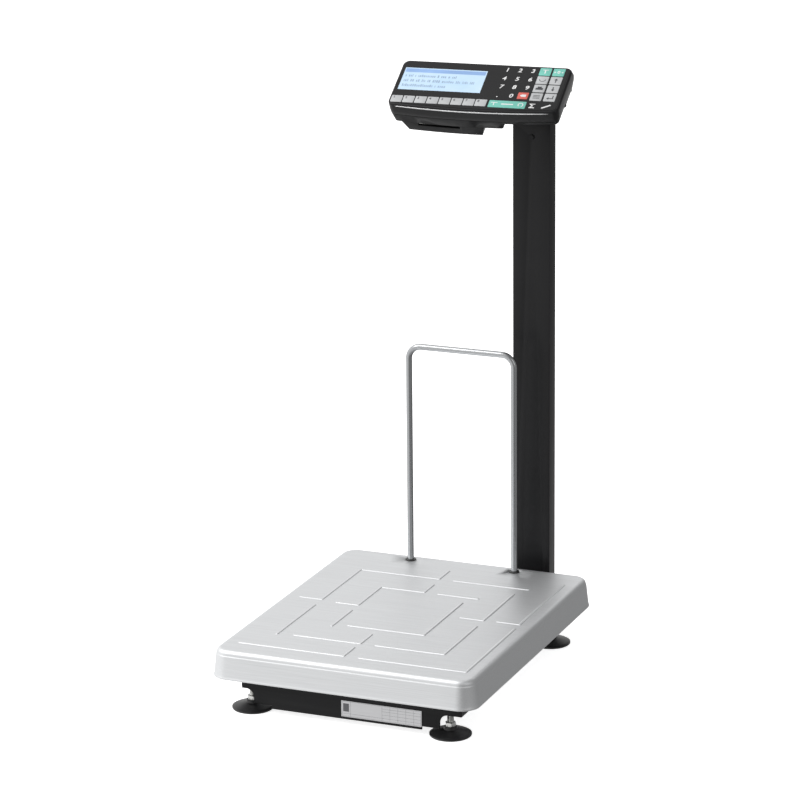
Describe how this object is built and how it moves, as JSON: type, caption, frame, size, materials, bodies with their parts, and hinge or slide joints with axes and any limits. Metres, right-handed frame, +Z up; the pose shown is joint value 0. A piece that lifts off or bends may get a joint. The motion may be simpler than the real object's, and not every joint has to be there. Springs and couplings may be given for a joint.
{
  "type": "label printing scale",
  "caption": "Platform scale with an embossed steel pan, levelling feet, a U-shaped backrest rail, and a tilting label printing terminal on a tall column.",
  "frame": {"origin": "on the floor under the middle of the whole scale's box", "axes": "+Z up along the column, +X to the operator's right, +Y to the rear, away from the operator"},
  "size_m": [0.404, 0.554, 0.8575],
  "materials": {
    "black_powder_coat": "satin powder coat with a fine orange-peel texture",
    "zinc": "bright zinc plating",
    "cell_aluminium": "machined",
    "pad_rubber": "moulded rubber",
    "plate_foil": "satin foil plate with plain ruled boxes",
    "cable_sheath": "smooth sheath",
    "brushed_stainless": "fine linear brushing",
    "rail_stainless": "satin ground tube",
    "socket_plastic": "moulded",
    "foot_plastic": "moulded, slightly glossy",
    "case_plastic": "fine spark-eroded moulding texture",
    "silver_trim": "satin silver",
    "overlay_film": "satin polyester film with printed keys",
    "lcd_glass": "clear window over a pale blue display",
    "circuit_board": "green solder mask",
    "port_plastic": "moulded",
    "head_aluminium": "machined",
    "motor_steel": "plain steel can",
    "brass_pinion": "machined",
    "gear_plastic": "moulded acetal",
    "label_paper": "matt thermal paper",
    "core_card": "rolled card"
  },
  "bodies": {
    "base": {"front_channel": "black_powder_coat", "rear_channel": "black_powder_coat", "left_rail": "black_powder_coat", "right_rail": "black_powder_coat", "cell_beam": "black_powder_coat", "cell_spacers": "zinc", "load_cell": "cell_aluminium", "cell_bolts": "zinc", "spider_plate": "black_powder_coat", "spider_left_bar": "black_powder_coat", "spider_right_bar": "black_powder_coat", "spider_front_bar": "black_powder_coat", "spider_rear_bar": "black_powder_coat", "pan_pads": "pad_rubber", "weld_nuts": "zinc", "rating_plate": "plate_foil", "column_bracket": "black_powder_coat", "column": "black_powder_coat", "column_bolts": "zinc", "column_head": "black_powder_coat", "column_screw": "zinc", "cell_cable": "cable_sheath"},
    "pan": {"pan": "brushed_stainless", "rail_sockets": "socket_plastic"},
    "rail": {"backrest_rail": "rail_stainless"},
    "foot_fl": {"foot_pad_fl": "foot_plastic", "foot_stem_fl": "zinc"},
    "foot_fr": {"foot_pad_fr": "foot_plastic", "foot_stem_fr": "zinc"},
    "foot_rl": {"foot_pad_rl": "foot_plastic", "foot_stem_rl": "zinc"},
    "foot_rr": {"foot_pad_rr": "foot_plastic", "foot_stem_rr": "zinc"},
    "bracket": {"terminal_bracket": "black_powder_coat", "swivel_bolt": "zinc"},
    "terminal": {"tilt_screws": "zinc", "upper_case": "case_plastic", "lower_case": "case_plastic", "trim_strip": "silver_trim", "keypad_overlay": "overlay_film", "lcd_window": "lcd_glass", "lcd_module": "circuit_board", "main_board": "circuit_board", "case_screws": "zinc", "case_feet": "pad_rubber", "power_inlet": "port_plastic", "data_port": "port_plastic", "printer_chassis": "zinc", "print_head": "head_aluminium", "tear_bar": "zinc", "roll_spindle": "zinc", "printer_motor": "motor_steel", "door_pin": "zinc"},
    "motor_shaft": {"motor_pinion": "brass_pinion"},
    "platen": {"platen_roller": "pad_rubber", "platen_gear": "gear_plastic"},
    "roll": {"label_roll": "label_paper", "roll_core": "core_card"},
    "door": {"printer_door": "case_plastic"}
  },
  "joints": [
    {"name": "pan_lift", "type": "slide", "parent": "base", "child": "pan", "axis": [0, 0, 1], "range_m": [0, 0.1]},
    {"name": "rail_pull", "type": "slide", "parent": "pan", "child": "rail", "axis": [0, 0, 1], "range_m": [0, 0.06]},
    {"name": "foot_fl_turn", "type": "hinge", "parent": "base", "child": "foot_fl", "pos_m": [-0.1515, -0.233, 0.03], "axis": [0, 0, 1], "continuous": true},
    {"name": "foot_fr_turn", "type": "hinge", "parent": "base", "child": "foot_fr", "pos_m": [0.1515, -0.233, 0.03], "axis": [0, 0, 1], "continuous": true},
    {"name": "foot_rl_turn", "type": "hinge", "parent": "base", "child": "foot_rl", "pos_m": [-0.1515, 0.173, 0.03], "axis": [0, 0, 1], "continuous": true},
    {"name": "foot_rr_turn", "type": "hinge", "parent": "base", "child": "foot_rr", "pos_m": [0.1515, 0.173, 0.03], "axis": [0, 0, 1], "continuous": true},
    {"name": "terminal_swivel", "type": "hinge", "parent": "base", "child": "bracket", "pos_m": [0.09286, 0.26129, 0.7788], "axis": [0, 0, 1], "range_deg": [-30, 30]},
    {"name": "terminal_tilt", "type": "hinge", "parent": "bracket", "child": "terminal", "pos_m": [0.09491, 0.23738, 0.8028], "axis": [0.9963, 0.0854, 0], "range_deg": [-15, 15]},
    {"name": "printer_door_hinge", "type": "hinge", "parent": "terminal", "child": "door", "pos_m": [-0.02471, 0.23947, 0.81611], "axis": [0.9963, 0.0854, 0], "range_deg": [0, 70]},
    {"name": "roll_spin", "type": "hinge", "parent": "terminal", "child": "roll", "pos_m": [-0.0226, 0.21486, 0.80503], "axis": [0.9963, 0.0854, 0], "continuous": true},
    {"name": "platen_spin", "type": "hinge", "parent": "terminal", "child": "platen", "pos_m": [-0.01911, 0.17422, 0.77956], "axis": [0.9963, 0.0854, 0], "continuous": true},
    {"name": "motor_spin", "type": "hinge", "parent": "terminal", "child": "motor_shaft", "pos_m": [0.02655, 0.18007, 0.78896], "axis": [0.9963, 0.0854, 0], "continuous": true}
  ],
  "couplings": [
    {"joint": "motor_spin", "follows": "platen_spin", "ratio": -1.4}
  ]
}
